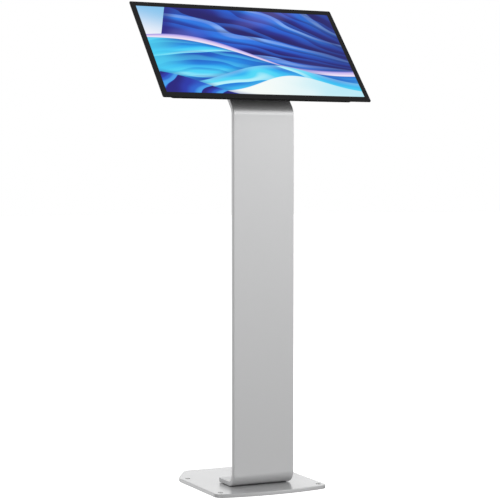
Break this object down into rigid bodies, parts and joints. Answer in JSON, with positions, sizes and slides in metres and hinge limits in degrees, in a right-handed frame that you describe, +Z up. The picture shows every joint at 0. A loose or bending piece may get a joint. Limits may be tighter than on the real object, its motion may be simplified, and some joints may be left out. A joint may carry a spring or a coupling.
{
  "type": "touchscreen kiosk",
  "caption": "Free-standing information kiosk: a leaning touch monitor on a slim folded sheet column, bolted to a flat weighted base plate.",
  "frame": {"origin": "centre of the base plate's footprint, on the floor", "axes": "+X to the right as a visitor faces the screen, +Y away from the visitor, +Z up"},
  "size_m": [0.56, 0.3486, 1.2056],
  "materials": {
    "silver_paint": "satin silver-grey powder coat",
    "black_frame": "black anodised",
    "cover_glass": "polished glass with a printed black border over the lit display",
    "black_plastic": "fine textured moulding",
    "key_plastic": "satin moulding",
    "zinc_steel": "zinc plated",
    "black_steel": "black powder coat",
    "dark_rubber": "matt rubber",
    "display_film": "clear or white optical film",
    "display_dark": "liquid crystal cell",
    "circuit_board": "solder mask with parts",
    "socket_metal": "nickel plated shell",
    "adhesive": "foam tape",
    "ribbon": "flexible circuit"
  },
  "bodies": {
    "kiosk": {"base_plate": "silver_paint", "base_pads": "dark_rubber", "foot_gasket": "dark_rubber", "foot_bolts": "zinc_steel", "column_front_shell": "silver_paint", "foot_closing_plate": "silver_paint", "rear_cable_cover": "silver_paint", "head_closing_plate": "silver_paint", "foot_clamp_blocks": "zinc_steel", "foot_end_cap": "silver_paint", "foot_cable_edging": "dark_rubber", "cover_fixing_blocks": "zinc_steel", "cable_cover_screws": "zinc_steel", "cable_clips": "black_plastic", "head_clamp_blocks": "zinc_steel", "head_end_cap": "silver_paint", "head_cable_edging": "dark_rubber", "mounting_bracket": "black_steel", "bracket_nuts": "zinc_steel", "bracket_screws": "zinc_steel", "monitor_screws": "zinc_steel", "front_frame": "black_frame", "cover_glass": "cover_glass", "glass_adhesive": "adhesive", "touch_sensor": "display_film", "optical_adhesive": "display_film", "display_cell": "display_dark", "diffuser_sheets": "display_film", "light_guide": "display_film", "led_bar": "circuit_board", "reflector_sheet": "display_film", "backlight_pan": "zinc_steel", "chassis_plate": "zinc_steel", "chassis_standoffs": "zinc_steel", "main_board": "circuit_board", "power_board": "circuit_board", "board_screws": "zinc_steel", "touch_controller_board": "circuit_board", "touch_flex": "ribbon", "display_cable": "ribbon", "power_inlet_jack": "black_plastic", "video_socket": "socket_metal", "usb_socket": "socket_metal", "audio_jack": "black_plastic", "speaker_left": "black_plastic", "speaker_right": "black_plastic", "key_board": "circuit_board", "key_switches": "socket_metal", "rear_housing": "black_plastic", "housing_screws": "zinc_steel"},
    "leveller_fl": {"levelling_screw_fl": "zinc_steel"},
    "leveller_fr": {"levelling_screw_fr": "zinc_steel"},
    "leveller_rl": {"levelling_screw_rl": "zinc_steel"},
    "leveller_rr": {"levelling_screw_rr": "zinc_steel"},
    "power_key_cap": {"power_key": "key_plastic"},
    "menu_key_cap": {"menu_key": "key_plastic"},
    "source_key_cap": {"source_key": "key_plastic"},
    "plus_key_cap": {"plus_key": "key_plastic"},
    "minus_key_cap": {"minus_key": "key_plastic"}
  },
  "joints": [
    {"name": "level_fl", "type": "slide", "parent": "kiosk", "child": "leveller_fl", "axis": [0, 0, -1], "range_m": [0, 0.004]},
    {"name": "level_fr", "type": "slide", "parent": "kiosk", "child": "leveller_fr", "axis": [0, 0, -1], "range_m": [0, 0.004]},
    {"name": "level_rl", "type": "slide", "parent": "kiosk", "child": "leveller_rl", "axis": [0, 0, -1], "range_m": [0, 0.004]},
    {"name": "level_rr", "type": "slide", "parent": "kiosk", "child": "leveller_rr", "axis": [0, 0, -1], "range_m": [0, 0.004]},
    {"name": "power_key_press", "type": "slide", "parent": "kiosk", "child": "power_key_cap", "axis": [-1, 0, 0], "range_m": [0, 0.0008], "stiffness_N_per_m": 2000, "springref_m": -0.0003},
    {"name": "menu_key_press", "type": "slide", "parent": "kiosk", "child": "menu_key_cap", "axis": [-1, 0, 0], "range_m": [0, 0.0008], "stiffness_N_per_m": 2000, "springref_m": -0.0003},
    {"name": "source_key_press", "type": "slide", "parent": "kiosk", "child": "source_key_cap", "axis": [-1, 0, 0], "range_m": [0, 0.0008], "stiffness_N_per_m": 2000, "springref_m": -0.0003},
    {"name": "plus_key_press", "type": "slide", "parent": "kiosk", "child": "plus_key_cap", "axis": [-1, 0, 0], "range_m": [0, 0.0008], "stiffness_N_per_m": 2000, "springref_m": -0.0003},
    {"name": "minus_key_press", "type": "slide", "parent": "kiosk", "child": "minus_key_cap", "axis": [-1, 0, 0], "range_m": [0, 0.0008], "stiffness_N_per_m": 2000, "springref_m": -0.0003}
  ]
}
